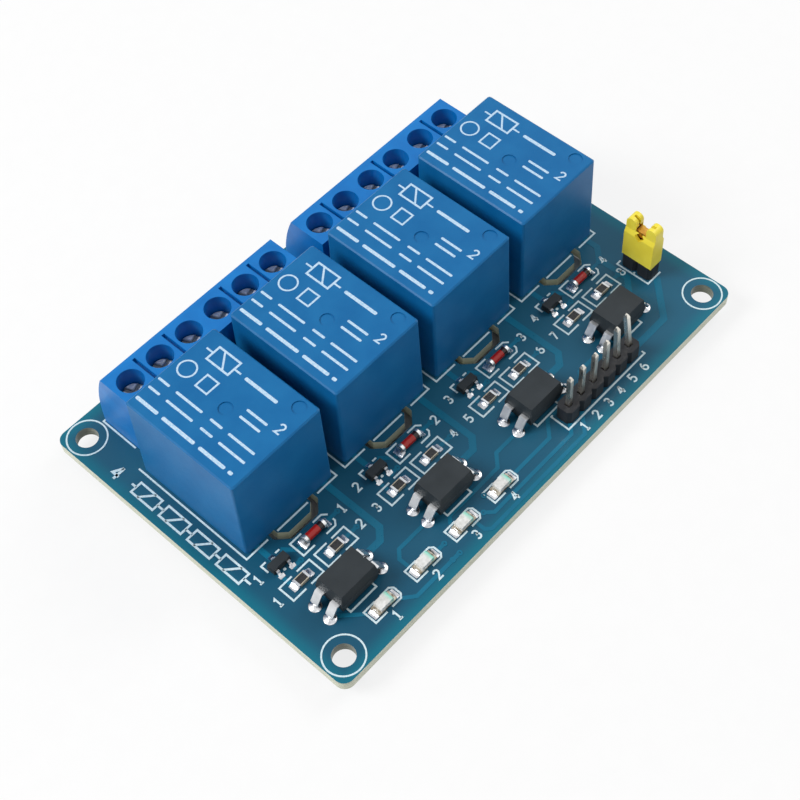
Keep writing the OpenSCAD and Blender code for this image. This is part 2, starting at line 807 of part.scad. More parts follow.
module resistor_ends() {
    color("#d2d5d8") at_each_resistor() for (s = [-1, 1])
        translate([s * (chip_l - chip_end) / 2, 0, chip_h / 2])
            cube([chip_end, chip_w, chip_h], center = true);
}

// Solder cones round every pin, under the board
module solder_joints() {
    cone_h = 1.1;
    color("#c5c9cd") on_board() for (p = through_pins) {
        hole = diagonal([p[2], p[3]]) + fit;
        translate([p[0], p[1], -board_t - cone_h]) difference() {
            cylinder(d1 = hole + 0.3, d2 = hole + 0.9, h = cone_h, $fn = 24);
            translate([0, 0, -eps]) cylinder(d = hole, h = cone_h + 2 * eps, $fn = 24);
        }
    }
}

circuit_board();
for (i = [0:channels - 1]) {
    relay_case(i);
    relay_base(i);
    relay_yoke(i);
    relay_bobbin(i);
    relay_winding(i);
    relay_armature(i);
    relay_contacts(i);
    optocoupler(i);
}
for (b = [0:len(block_poles) - 1])
    terminal_block(b);
terminal_screws();
wire_clamps();
terminal_contacts();
input_header_base();
input_header_pins();
jumper_header_base();
jumper_header_pins();
jumper_cap();
jumper_contact();
optocoupler_leads();
led_lenses();
led_bases();
diode_glass();
diode_caps();
transistor_bodies();
transistor_leads();
resistor_bodies();
resistor_ends();
solder_joints();
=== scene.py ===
import math

import bmesh
import bpy
from mathutils import Matrix, Vector


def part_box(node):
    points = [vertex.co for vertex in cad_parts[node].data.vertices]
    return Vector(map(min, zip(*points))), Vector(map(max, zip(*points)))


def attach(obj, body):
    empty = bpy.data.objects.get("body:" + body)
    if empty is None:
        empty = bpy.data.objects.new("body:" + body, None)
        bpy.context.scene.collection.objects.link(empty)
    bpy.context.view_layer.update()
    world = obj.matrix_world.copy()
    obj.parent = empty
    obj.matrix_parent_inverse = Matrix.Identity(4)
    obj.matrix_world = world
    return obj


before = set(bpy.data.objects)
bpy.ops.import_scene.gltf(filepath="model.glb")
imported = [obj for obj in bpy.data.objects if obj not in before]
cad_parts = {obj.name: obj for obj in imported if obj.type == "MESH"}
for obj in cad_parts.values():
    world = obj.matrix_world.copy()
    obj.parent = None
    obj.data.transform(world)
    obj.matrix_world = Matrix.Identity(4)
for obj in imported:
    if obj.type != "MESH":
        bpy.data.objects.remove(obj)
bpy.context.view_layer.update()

# ---------------------------------------------------------------- layout
# Millimetres from the board's front left corner, heights from its top face,
# with the same values as the part's source.
MM = 0.001
CHANNELS = 4
BOARD_LOW, BOARD_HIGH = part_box("circuit_board")
BOARD_L = (BOARD_HIGH.x - BOARD_LOW.x) / MM
BOARD_W = (BOARD_HIGH.y - BOARD_LOW.y) / MM
BOARD_T = (BOARD_HIGH.z - BOARD_LOW.z) / MM
HOLE_INSET = 3.0
# First lamp, the step to the next one and a lamp's length
LED_X, LED_Y, LED_PITCH, LED_L = 11.1, 3.95, 7.4, 3.2
# First pin of the header
PIN_X, PIN_Y, PIN_COUNT, PIN_PITCH = 47.3, 4.45, 6, 2.54
# Small parts of one channel, with DX from the relay's middle line
CHIP_L, CHIP_W = 2.0, 1.25
RESISTOR_Y, RESISTOR_DX = 13.85, (0.5, -5.7)
TRANSISTOR_Y, TRANSISTOR_DX = 17.5, -6.0
DIODE_Y, DIODE_L = 17.2, 3.5
OPTO_SPAN, LEAD_PAD_D = 9.15, 1.8
# Half of the width of the slot that runs round a relay's common pin
SLOT_HALF = 3.5
# A relay's contact pins as dx and y, the common one in the middle
LOAD_PINS = ((-6, 35.7), (0, 23.7), (6, 35.7))
# First terminal, the step to the next and what the gap between the blocks adds
TERMINAL_X, TERMINAL_PITCH, BLOCK_GAP = 8.94, 5.08, 3.66

# Heights and widths of print and copper
SILK_T, SILK_W = 0.04, 0.25
COPPER_T, TRACK_W = 0.03, 0.55
INK_T = 0.012


def place(x, y, z=0.0):
    """A point in millimetres from the board's corner, in the frame's metres."""
    return Vector((BOARD_LOW.x + x * MM, BOARD_LOW.y + y * MM, BOARD_HIGH.z + z * MM))


def below(x, y, z):
    """A point under the board: height counts down from its lower face."""
    return place(x, y, -BOARD_T - z)


def middle(node):
    """Middle of a CAD node seen from above, in board millimetres."""
    low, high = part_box(node)
    mid = (low + high) / 2
    return (mid.x - BOARD_LOW.x) / MM, (mid.y - BOARD_LOW.y) / MM


RELAYS = [middle(f"relay_case_{i + 1}") for i in range(CHANNELS)]
OPTOS = [middle(f"optocoupler_{i + 1}") for i in range(CHANNELS)]
LEDS = [(LED_X + i * LED_PITCH, LED_Y) for i in range(CHANNELS)]
RELAY_PITCH = RELAYS[1][0] - RELAYS[0][0]
RELAY_LOW, RELAY_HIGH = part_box("relay_case_1")
RELAY_FRONT = (RELAY_LOW.y - BOARD_LOW.y) / MM
RELAY_TOP = (RELAY_HIGH.z - BOARD_HIGH.z) / MM


# ---------------------------------------------------------------- colours and nodes
def rgb(r, g, b):
    """Colour written as 0-255 screen values, as the shader's linear colour."""
    def linear(v):
        v /= 255
        return v / 12.92 if v <= 0.04045 else ((v + 0.055) / 1.055) ** 2.4
    return (linear(r), linear(g), linear(b), 1.0)


class Finish:
    """A Principled material with short calls for the nodes that it uses."""

    # Sockets of the Mix node in its colour mode
    MIX_FACTOR, MIX_A, MIX_B, MIX_RESULT = 0, 6, 7, 2
    NOISE_ROUGHNESS = 0.55

    def __init__(self, name, roughness=0.5, metallic=0.0, specular=0.5):
        self.material = bpy.data.materials.new(name)
        self.material.use_nodes = True
        self.tree = self.material.node_tree
        self.shader = self.tree.nodes["Principled BSDF"]
        self.set("Roughness", roughness)
        self.set("Metallic", metallic)
        self.set("Specular IOR Level", specular)

    def set(self, socket, value):
        self.shader.inputs[socket].default_value = value

    def node(self, kind, **settings):
        made = self.tree.nodes.new(kind)
        for key, value in settings.items():
            setattr(made, key, value)
        return made

    def link(self, output, target):
        self.tree.links.new(output, target)

    def feed(self, target, value):
        """Sets an input to a number or colour, or links a node's output to it."""
        if isinstance(value, (tuple, float, int)):
            target.default_value = value
        else:
            self.link(value, target)

    def coords(self, stretch=(1, 1, 1)):
        """Object coordinates, stretched to make grain run one way."""
        source = self.node("ShaderNodeTexCoord").outputs["Object"]
        if stretch == (1, 1, 1):
            return source
        mapping = self.node("ShaderNodeMapping")
        mapping.inputs["Scale"].default_value = stretch
        self.link(source, mapping.inputs["Vector"])
        return mapping.outputs["Vector"]

    def noise(self, size_mm, detail=3.0, stretch=(1, 1, 1)):
        """Noise with blotches of about one size."""
        made = self.node("ShaderNodeTexNoise")
        made.inputs["Scale"].default_value = 1 / (size_mm * MM)
        made.inputs["Detail"].default_value = detail
        made.inputs["Roughness"].default_value = self.NOISE_ROUGHNESS
        self.link(self.coords(stretch), made.inputs["Vector"])
        return made.outputs["Fac"]

    def ramp(self, factor, stops):
        """Colours of a ramp, with stops as (position, colour)."""
        made = self.node("ShaderNodeValToRGB")
        elements = made.color_ramp.elements
        while len(elements) < len(stops):
            elements.new(0.5)
        for element, (position, colour) in zip(elements, stops):
            element.position = position
            element.color = colour
        self.link(factor, made.inputs["Fac"])
        return made.outputs["Color"]

    def tones(self, factor, dark, light):
        """Two tones of one colour, mottled by a noise."""
        return self.ramp(factor, [(0.3, dark), (0.7, light)])

    def math(self, operation, a, b=None):
        made = self.node("ShaderNodeMath", operation=operation)
        self.feed(made.inputs[0], a)
        if b is not None:
            self.feed(made.inputs[1], b)
        return made.outputs["Value"]

    def mix(self, factor, a, b):
        """Blends two colours: a where the factor is 0, b where it is 1."""
        made = self.node("ShaderNodeMix", data_type="RGBA")
        for socket, value in ((self.MIX_FACTOR, factor), (self.MIX_A, a), (self.MIX_B, b)):
            self.feed(made.inputs[socket], value)
        return made.outputs[self.MIX_RESULT]

    def facing(self, axis):
        """How much the surface faces along an axis of the object, -1 to 1."""
        split = self.node("ShaderNodeSeparateXYZ")
        self.link(self.node("ShaderNodeTexCoord").outputs["Normal"], split.inputs[0])
        return split.outputs[axis]

    def along(self, axis):
        """Place along an axis of the object, in metres."""
        split = self.node("ShaderNodeSeparateXYZ")
        self.link(self.coords(), split.inputs[0])
        return split.outputs[axis]

    def inside(self, axis, length_mm):
        """How far a place is from the nearer end of a length about the origin, in metres."""
        distance = self.math("ABSOLUTE", self.along(axis))
        return self.math("SUBTRACT", length_mm / 2 * MM, distance)

    def near(self, axis, first, pitch=None):
        """Distance along an axis from a place, or from the nearest of a row of places."""
        offset = self.math("SUBTRACT", self.along(axis), first)
        if pitch is None:
            return offset
        shifted = self.math("ADD", offset, pitch / 2)
        wrapped = self.math("FLOORED_MODULO", shifted, pitch)
        return self.math("SUBTRACT", wrapped, pitch / 2)

    def span(self, value, low, high, at_low=0.0, at_high=1.0):
        """A smooth step from one number to another as a value passes from low to high."""
        made = self.node("ShaderNodeMapRange", interpolation_type="SMOOTHSTEP")
        ends = zip(("From Min", "From Max", "To Min", "To Max"), (low, high, at_low, at_high))
        for socket, number in ends:
            made.inputs[socket].default_value = number
        self.link(value, made.inputs["Value"])
        return made.outputs["Result"]

    def bands(self, position, low, high, stops):
        """Colours with hard edges along a position in metres."""
        made = self.node("ShaderNodeMapRange")
        made.inputs["From Min"].default_value = low
        made.inputs["From Max"].default_value = high
        self.link(position, made.inputs["Value"])
        colours = self.ramp(made.outputs["Result"], stops)
        colours.node.color_ramp.interpolation = "CONSTANT"
        return colours

    def colour(self, output):
        self.link(output, self.shader.inputs["Base Color"])

    def rough(self, factor, low, high):
        """Roughness that a noise moves between two values."""
        made = self.node("ShaderNodeMapRange")
        made.inputs["To Min"].default_value = low
        made.inputs["To Max"].default_value = high
        self.link(factor, made.inputs["Value"])
        self.link(made.outputs["Result"], self.shader.inputs["Roughness"])

    def bump(self, height, depth_mm):
        made = self.node("ShaderNodeBump")
        made.inputs["Strength"].default_value = 1.0
        made.inputs["Distance"].default_value = depth_mm * MM
        self.link(height, made.inputs["Height"])
        self.link(made.outputs["Normal"], self.shader.inputs["Normal"])


def moulded(name, dark, light, roughness=0.4, grain=0.35, depth=0.004, specular=0.5):
    """Moulded plastic: faint cloudy colour, fine grain and uneven gloss."""
    finish = Finish(name, roughness, specular=specular)
    cloud = finish.noise(4.0, detail=2)
    fine = finish.noise(grain, detail=4)
    finish.colour(finish.tones(cloud, dark, light))
    finish.rough(fine, roughness - 0.06, roughness + 0.08)
    finish.bump(fine, depth)
    return finish


def metal(name, dark, light, roughness=0.3, grain=0.5, depth=0.004, stretch=(1, 1, 1)):
    """Plain metal with a mottled tone and fine scratches along its grain."""
    finish = Finish(name, roughness, metallic=1.0)
    mottle = finish.noise(grain * 2, detail=3, stretch=stretch)
    fine = finish.noise(grain, detail=5, stretch=stretch)
    finish.colour(finish.tones(mottle, dark, light))
    finish.rough(fine, roughness - 0.1, roughness + 0.15)
    finish.bump(fine, depth)
    return finish


def ink(name, dark, light, roughness, grain, depth):
    """Patchy print that lets a little of the ground through."""
    finish = Finish(name, roughness)
    patchy = finish.noise(grain, detail=4)
    finish.colour(finish.ramp(patchy, [(0.3, dark), (0.6, light)]))
    finish.bump(patchy, depth)
    return finish


# ---------------------------------------------------------------- materials
# Specular level of the mask and of the relay cases, which stay calm in a bright room
CALM = 0.22
# The mask is greener along the board's rim
RIM_W, RIM_TINT = 2.4, 0.75
# Walls this far from the board's edges are those of drilled holes, whose laminate is coloured
# darker as painted shade
HOLES_FROM, HOLES_TO = 1.0, 6.0


def reach_inside(finish):
    """How far a place lies inside of the board's edges, in metres."""
    return finish.math("MINIMUM", finish.inside(0, BOARD_L), finish.inside(1, BOARD_W))


def solder_mask():
    """Blue mask on the faces of the board, bare glass laminate on its cut edges."""
    finish = Finish("solder_mask", 0.32, specular=CALM)
    reach = reach_inside(finish)
    cloud = finish.noise(22.0, detail=2)
    mask = finish.ramp(cloud, [(0.35, rgb(18, 76, 102)), (0.65, rgb(28, 88, 114))])
    rim = finish.span(reach, 0, RIM_W * MM, RIM_TINT, 0.0)
    mask = finish.mix(rim, mask, rgb(10, 110, 130))
    layers = finish.noise(0.5, detail=3, stretch=(0.2, 0.2, 6))
    laminate = finish.tones(layers, rgb(178, 182, 158), rgb(216, 218, 200))
    # Painted shade: the laminate on the walls of the mounting holes gets a darker colour
    hole_wall_shade = finish.tones(layers, rgb(96, 102, 92), rgb(142, 146, 132))
    past_edge = finish.math("GREATER_THAN", reach, HOLES_FROM * MM)
    before_slots = finish.math("LESS_THAN", reach, HOLES_TO * MM)
    in_hole = finish.math("MULTIPLY", past_edge, before_slots)
    laminate = finish.mix(in_hole, laminate, hole_wall_shade)
    flat = finish.math("GREATER_THAN", finish.math("ABSOLUTE", finish.facing(2)), 0.5)
    finish.colour(finish.mix(flat, laminate, mask))
    weave = finish.noise(0.35, detail=4)
    finish.rough(weave, 0.26, 0.42)
    finish.bump(weave, 0.004)
    return finish


def mask_over_copper():
    """The same mask, lighter where it covers a track."""
    finish = Finish("mask_over_copper", 0.3, specular=CALM)
    finish.colour(finish.tones(finish.noise(9.0, detail=2), rgb(14, 96, 124), rgb(22, 108, 138)))
    fine = finish.noise(0.3, detail=4)
    finish.rough(fine, 0.22, 0.38)
    finish.bump(fine, 0.004)
    return finish


def case_plastic():
    """Slightly clear blue plastic: a little light passes and shows the works."""
    finish = moulded("case_plastic", rgb(8, 102, 162), rgb(20, 111, 170), grain=0.25,
                     depth=0.006, specular=CALM)
    finish.set("Transmission Weight", 0.12)
    finish.set("IOR", 1.5)
    return finish


def diode_glass():
    """Painted red middle, black band to the right and clear glass to the left."""
    finish = Finish("diode_glass", 0.1)
    half = DIODE_L / 2 * MM
    place_on_diode = finish.near(0, place(RELAYS[0][0], 0).x, RELAY_PITCH * MM)
    colours = [(0.0, rgb(150, 138, 120)), (0.15, rgb(182, 26, 16)), (0.7, rgb(28, 20, 22))]
    painted = finish.bands(place_on_diode, -half, half, colours)
    streaks = finish.noise(0.5, detail=3, stretch=(0.3, 1, 1))
    finish.colour(finish.mix(finish.math("MULTIPLY", streaks, 0.3), painted, rgb(70, 20, 18)))
    finish.rough(streaks, 0.06, 0.2)
    return finish


def screw_plate():
    """Bright plating on the heads, with a darker colour down in the cross slots as painted
    shade.
    """
    finish = Finish("zinc_plate", 0.35, metallic=0.35)
    # Painted shade: anything more than about 0.3 mm below the heads' top, that is the cross
    # slots, gets the darker colour
    below_top = finish.near(2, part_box("terminal_screws")[1].z)
    head = finish.span(below_top, -0.4 * MM, -0.25 * MM)
    mottle = finish.noise(0.5, detail=3)
    plate = finish.tones(mottle, rgb(226, 228, 226), rgb(250, 250, 248))
    finish.colour(finish.mix(head, rgb(168, 170, 170), plate))
    finish.rough(mottle, 0.24, 0.46)
    finish.bump(finish.noise(0.25, detail=2), 0.1)
    return finish


def resistor_glaze():
    """Black glaze on top that stops short of the pale ceramic's edges."""
    bare_rim = 0.12
    finish = Finish("resistor_glaze", 0.3)
    across = finish.math("ABSOLUTE", finish.near(1, place(0, RESISTOR_Y).y))
    inside = finish.math("LESS_THAN", across, (CHIP_W / 2 - bare_rim) * MM)
    upward = finish.math("GREATER_THAN", finish.facing(2), 0.5)
    fine = finish.noise(0.3, detail=3)
    glaze = finish.tones(fine, rgb(26, 26, 28), rgb(44, 44, 46))
    ceramic = finish.tones(fine, rgb(168, 156, 134), rgb(206, 196, 174))
    finish.colour(finish.mix(finish.math("MULTIPLY", inside, upward), ceramic, glaze))
    finish.rough(fine, 0.22, 0.36)
    finish.bump(fine, 0.004)
    return finish


def lens_resin():
    """Milky resin with the die's green tint toward its right end."""
    finish = Finish("lens_resin", 0.3)
    place_on_lamp = finish.near(0, place(LED_X, 0).x, LED_PITCH * MM)
    patches = finish.noise(0.5, detail=3)
    tint = finish.math("MULTIPLY", finish.span(place_on_lamp, 0.3 * MM, 0.95 * MM), 1.3)
    tint = finish.math("MULTIPLY", tint, patches)
    cloudy = finish.tones(patches, rgb(200, 200, 196), rgb(232, 232, 230))
    finish.colour(finish.mix(tint, cloudy, rgb(96, 214, 186)))
    finish.rough(patches, 0.24, 0.4)
    finish.bump(patches, 0.006)
    return finish


# A finish for each material slot of the CAD nodes
FINISHES = {
    "pcb": solder_mask(),
    "relay_case": case_plastic(),
    "relay_base": moulded("base_plastic", rgb(6, 84, 142), rgb(14, 96, 154)),
    "steel": metal("soft_iron", rgb(140, 142, 146), rgb(178, 180, 184),
                   roughness=0.38, grain=0.8),
    "bobbin": moulded("bobbin_plastic", rgb(206, 200, 184), rgb(226, 221, 208), roughness=0.45),
    "copper": metal("winding_copper", rgb(150, 78, 38), rgb(190, 106, 58),
                    roughness=0.34, grain=0.2, stretch=(0.2, 0.2, 8)),
    "contact_metal": metal("contact_brass", rgb(184, 132, 52), rgb(220, 170, 84), grain=0.4),
    "terminal_housing": moulded("terminal_plastic", rgb(0, 106, 180), rgb(8, 118, 193),
                                roughness=0.36, grain=0.4, depth=0.005, specular=0.35),
    "screw_metal": screw_plate(),
    "header_plastic": moulded("header_nylon", rgb(22, 24, 28), rgb(34, 36, 41),
                              roughness=0.5, grain=0.3, depth=0.006, specular=0.3),
    "pin_metal": metal("pin_plate", rgb(206, 202, 192), rgb(232, 229, 220),
                       roughness=0.26, depth=0.001, stretch=(1, 1, 0.2)),
    "jumper_plastic": moulded("jumper_nylon", rgb(232, 212, 52), rgb(246, 230, 78),
                              roughness=0.38, grain=0.4),
    "chip_plastic": moulded("chip_epoxy", rgb(32, 38, 42), rgb(42, 48, 52),
                            roughness=0.55, grain=0.18, depth=0.01, specular=0.3),
    "tinned": metal("tin_plate", rgb(212, 214, 216), rgb(238, 239, 240), grain=0.8,
                    depth=0.0008),
    "led_lens": lens_resin(),
    "led_base": metal("lamp_carrier", rgb(120, 104, 78), rgb(220, 214, 200), grain=0.25),
    "diode_glass": diode_glass(),
    "resistor_body": resistor_glaze(),
    "solder": metal("solder_alloy", rgb(172, 174, 180), rgb(228, 230, 232),
                    roughness=0.22, grain=0.4, depth=0.012),
}
COPPER_MASK = mask_over_copper()
SILK_INK = ink("white_ink", rgb(176, 206, 218), rgb(214, 230, 234), 0.55, 0.25, 0.01)
CASE_INK = ink("case_ink", rgb(150, 190, 220), rgb(194, 216, 234), 0.5, 0.3, 0.008)


def dress_cad_nodes():
    """Gives each CAD node the finish of its own material slot."""
    for name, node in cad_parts.items():
        for material_slot in node.material_slots:
            slot = material_slot.material.name.split(".")[0]
            if slot not in FINISHES:
                raise ValueError(f"{name} has a slot without a finish: {slot}")
            material_slot.material = FINISHES[slot].material


# ---------------------------------------------------------------- mesh helpers
def new_piece(name, bm, finish, body="board", smooth_angle=None):
    """Turns a bmesh into a piece that rides on a body."""
    mesh = bpy.data.meshes.new(name)
    bmesh.ops.recalc_face_normals(bm, faces=bm.faces)
    bm.to_mesh(mesh)
    bm.free()
    piece = bpy.data.objects.new(name, mesh)
    bpy.context.scene.collection.objects.link(piece)
    mesh.materials.append(finish.material)
    if smooth_angle is not None:
        mesh.shade_smooth()
        mesh.set_sharp_from_angle(angle=math.radians(smooth_angle))
    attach(piece, body)


def arc(cx, cy, r, start, end, steps=12):
    """Points of an arc between two angles in degrees."""
    angles = [math.radians(start + (end - start) * k / steps) for k in range(steps + 1)]
    return [(cx + r * math.cos(a), cy + r * math.sin(a)) for a in angles]


def circle(cx, cy, r, steps):
    """Points of a whole circle, the first one not repeated."""
    return arc(cx, cy, r, 0, 360, steps)[:-1]


def rounded(x0, y0, x1, y1, r):
    """Outline of a rectangle with round corners."""
    corners = ((x1 - r, y1 - r, 0), (x0 + r, y1 - r, 90),
               (x0 + r, y0 + r, 180), (x1 - r, y0 + r, 270))
    return [point for cx, cy, turn in corners for point in arc(cx, cy, r, turn, turn + 90, 4)]


def add_plate(bm, outline, z0, z1):
    """A flat plate of any outline between two heights."""
    low = [bm.verts.new(place(x, y, z0)) for x, y in outline]
    high = [bm.verts.new(place(x, y, z1)) for x, y in outline]
    bm.faces.new(low)
    bm.faces.new(high)
    count = len(outline)
    for k in range(count):
        n = (k + 1) % count
        bm.faces.new((low[k], low[n], high[n], high[k]))


def offset_points(points, width, closed):
    """Left and right edges of a line of a given width, mitred at its corners."""
    sharpest = 0.4
    count = len(points)
    left, right = [], []
    for k, here in enumerate(points):
        before = points[k - 1] if k or closed else None
        after = points[(k + 1) % count] if k < count - 1 or closed else None
        ways = []
        for a, b in ((before, here), (here, after)):
            if a and b:
                length = math.dist(a, b)
                ways.append(((b[0] - a[0]) / length, (b[1] - a[1]) / length))
        tx = sum(way[0] for way in ways)
        ty = sum(way[1] for way in ways)
        size = math.hypot(tx, ty)
        nx, ny = -ty / size, tx / size
        mitre = abs(nx * -ways[0][1] + ny * ways[0][0])
        stretch = width / 2 / max(sharpest, mitre)
        left.append((here[0] + nx * stretch, here[1] + ny * stretch))
        right.append((here[0] - nx * stretch, here[1] - ny * stretch))
    return left, right


def add_line(bm, points, width, z0, z1, closed=False, put=place):
    """A raised line of even width, such as print or a copper track."""
    left, right = offset_points(points, width, closed)
    rows = [[bm.verts.new(put(x, y, z)) for x, y in edge]
            for edge, z in ((left, z0), (left, z1), (right, z1), (right, z0))]
    count = len(points)
    for k in range(count if closed else count - 1):
        n = (k + 1) % count
        for a in range(4):
            b = (a + 1) % 4
            bm.faces.new((rows[a][k], rows[a][n], rows[b][n], rows[b][k]))
    if not closed:
        for k in (0, count - 1):
            bm.faces.new([row[k] for row in rows])


def add_ring(bm, cx, cy, r, width, z0, z1, steps=64):
    """A raised ring, with r to the middle of its width."""
    add_line(bm, circle(cx, cy, r, steps), width, z0, z1, closed=True)


def add_turned(bm, cx, cy, profile, steps=24):
    """A closed turned form: profile points are (radius, height), from axis to axis."""
    rows = []
    for r, z in profile:
        ring = circle(cx, cy, r, steps) if r else [(cx, cy)]
        rows.append([bm.verts.new(place(x, y, z)) for x, y in ring])
    for low, high in zip(rows, rows[1:]):
        for k in range(steps):
            n = (k + 1) % steps
            if len(low) == 1:
                bm.faces.new((low[0], high[n], high[k]))
            elif len(high) == 1:
                bm.faces.new((low[k], low[n], high[0]))
            else:
                bm.faces.new((low[k], low[n], high[n], high[k]))


# ---------------------------------------------------------------- plain digits
# Strokes in a cell 1 wide and 1.6 high
CELL_W, CELL_H = 1.0, 1.6
DIGITS = {
    "1": [[(0.2, 1.3), (0.55, 1.6), (0.55, 0)], [(0.2, 0), (0.9, 0)]],
    "2": [arc(0.5, 1.15, 0.42, 170, -35, 10) + [(0.08, 0), (0.95, 0)]],
    "3": [arc(0.45, 1.2, 0.38, 150, -80, 8) + arc(0.45, 0.43, 0.43, 80, -150, 8)],
    "4": [[(0.7, 0), (0.7, 1.6)], [(0.66, 1.56), (0.05, 0.5), (0.98, 0.5)]],
    "5": [[(0.88, 1.6), (0.2, 1.6), (0.14, 0.88)] + arc(0.45, 0.5, 0.48, 110, -140, 10)],
    "6": [arc(0.95, 0.75, 0.88, 118, 180, 4) + arc(0.5, 0.47, 0.44, 180, 520, 14)],
    "7": [[(0.05, 1.55), (0.98, 1.55)], [(0.9, 1.6), (0.35, 0)]],
    "8": [circle(0.5, 1.22, 0.36, 12) + [(0.86, 1.22)],
          circle(0.5, 0.44, 0.44, 12) + [(0.94, 0.44)]],
}


def add_digit(bm, digit, cx, cy, height, width, z0, z1, turned=False):
    """One digit centred on a point; turned reads from back to front."""
    scale = height / CELL_H
    for stroke in DIGITS[digit]:
        points = [((x - CELL_W / 2) * scale, (y - CELL_H / 2) * scale) for x, y in stroke]
        if turned:
            points = [(y, -x) for x, y in points]
        add_line(bm, [(cx + x, cy + y) for x, y in points], width, z0, z1)


# ---------------------------------------------------------------- print on the board
HOLE_RING_R, HOLE_RING_W = 2.72, 0.22
# Outline of a relay, with dx from its middle line
BOX_LEFT, BOX_RIGHT, BOX_FRONT, BOX_BACK = -8.2, 8.0, 21.05, 41.2
# Outline of the pin header, outside of its first and last pin
HEADER_SIDE, HEADER_FRONT, HEADER_BACK = 1.75, 1.6, 1.4
# Left and right ends of the two terminal outlines, and how far they reach
BLOCK_SIDES, BLOCK_FRONT, BLOCK_BACK = ((6.15, 37.2), (40.5, 71.6)), 43.9, 50.3
# Row of coil signs that stands in for the title, which runs from back to front
TITLE_X, TITLE_HALF, TITLE_BACK, TITLE_PITCH, TITLE_W = 2.2, 0.9, 40.2, 5.3, 0.3


def silk_line(bm, points, closed=False, width=SILK_W):
    """A line of white print on the board."""
    add_line(bm, points, width, 0, SILK_T, closed)


def bracket(bm, x0, y0, x1, y1, chamfer=0.0):
    """Box outline in two halves, open in the middle of its long sides."""
    mid, half_gap = (x0 + x1) / 2, 0.45
    silk_line(bm, [(mid - half_gap, y1), (x0, y1), (x0, y0), (mid - half_gap, y0)])
    right = [(x1, y1), (x1, y0)]
    if chamfer:
        right = [(x1 - chamfer, y1), (x1, y1 - chamfer), (x1, y0 + chamfer), (x1 - chamfer, y0)]
    silk_line(bm, [(mid + half_gap, y1)] + right + [(mid + half_gap, y0)])


def silk_relays(bm):
    """Outline of each relay, broken at the isolation slot in front of it."""
    beside_slot = SLOT_HALF + 0.95
    for x, _ in RELAYS:
        for way, side in ((-1, BOX_LEFT), (1, BOX_RIGHT)):
            silk_line(bm, [(x + way * beside_slot, BOX_FRONT), (x + side, BOX_FRONT),
                           (x + side, BOX_BACK)])
        silk_line(bm, [(x - 2.8, BOX_FRONT), (x + 2.7, BOX_FRONT)])


def silk_transistor(bm, x):
    """Two corners of a transistor's outline and a dot in front of it."""
    left, right, side, back = x - 1.7, x + 1.5, 17.7, 19.0
    silk_line(bm, [(left, side), (left, back), (x - 0.9, back)])
    silk_line(bm, [(x + 0.8, back), (right, back)])
    add_plate(bm, rounded(x - 0.2, 16.35, x + 0.2, 16.7, 0.12), 0, SILK_T)


def silk_diode(bm, x):
    """A diode's outline, open at the glass and chamfered at its banded end."""
    front, back, left, right = 16.05, 18.5, x - 3.1, x + 3.1
    silk_line(bm, [(x - 1.1, back), (left, back), (left, front), (x - 1.1, front)])
    silk_line(bm, [(x + 1.0, back), (x + 2.5, back), (right, 17.9)])
    silk_line(bm, [(right, 17.0), (right, 16.6), (x + 2.6, front), (x + 1.0, front)])


def silk_small_parts(bm):
    """Outlines of the transistors, diodes, resistors, optocouplers and lamps."""
    for (x, _), (opto_x, _) in zip(RELAYS, OPTOS):
        silk_transistor(bm, x + TRANSISTOR_DX)
        silk_diode(bm, x)
        for dx in RESISTOR_DX:
            bracket(bm, x + dx - 2.65, 12.6, x + dx + 2.65, 15.15)
        silk_line(bm, [(opto_x - 2.25, 7.2), (opto_x - 2.25, 6.3), (opto_x + 2.3, 6.3),
                       (opto_x + 2.3, 7.2)])
    for x, y in LEDS:
        bracket(bm, x - 2.45, y - 1.0, x + 2.45, y + 1.1, chamfer=0.45)


def silk_connectors(bm):
    """Outlines of the header, the jumper and the terminals, and rings at the screw holes."""
    left, right = PIN_X - HEADER_SIDE, PIN_X + (PIN_COUNT - 1) * PIN_PITCH + HEADER_SIDE
    front, back = PIN_Y - HEADER_FRONT, PIN_Y + HEADER_BACK
    silk_line(bm, [(left + 0.3, back), (left, back), (left, front), (right, front),
                   (right, front + 0.5)])
    silk_line(bm, [(72.3, 15.15), (71.5, 15.15), (71.5, 9.7), (74.3, 9.7)])
    silk_line(bm, [(71.5, 12.35), (71.95, 12.35)])
    for x in (HOLE_INSET, BOARD_L - HOLE_INSET):
        for y in (HOLE_INSET, BOARD_W - HOLE_INSET):
            add_ring(bm, x, y, HOLE_RING_R, HOLE_RING_W, 0, SILK_T)
    for x0, x1 in BLOCK_SIDES:
        silk_line(bm, [(x0, BLOCK_FRONT), (x0, BLOCK_BACK), (x1, BLOCK_BACK), (x1, BLOCK_FRONT)])


def silk_numbers(bm):
    """Plain numbers where the board has its part names."""
    style = {"height": 1.3, "width": 0.24, "z0": 0, "z1": SILK_T}
    for i, (x, _) in enumerate(RELAYS):
        number = str(i + 1)
        add_digit(bm, number, x - 9.3, 17.9, **style)
        add_digit(bm, number, x + 4.9, 17.2, **style)
        add_digit(bm, str(2 * i + 1), x - 9.8, 13.9, **style)
        add_digit(bm, str(2 * i + 2), x + 4.9, 13.9, **style)
        add_digit(bm, number, LEDS[i][0], 1.75, **style)
    for i in range(PIN_COUNT):
        add_digit(bm, str(i + 1), PIN_X + i * PIN_PITCH, 1.6, **style)


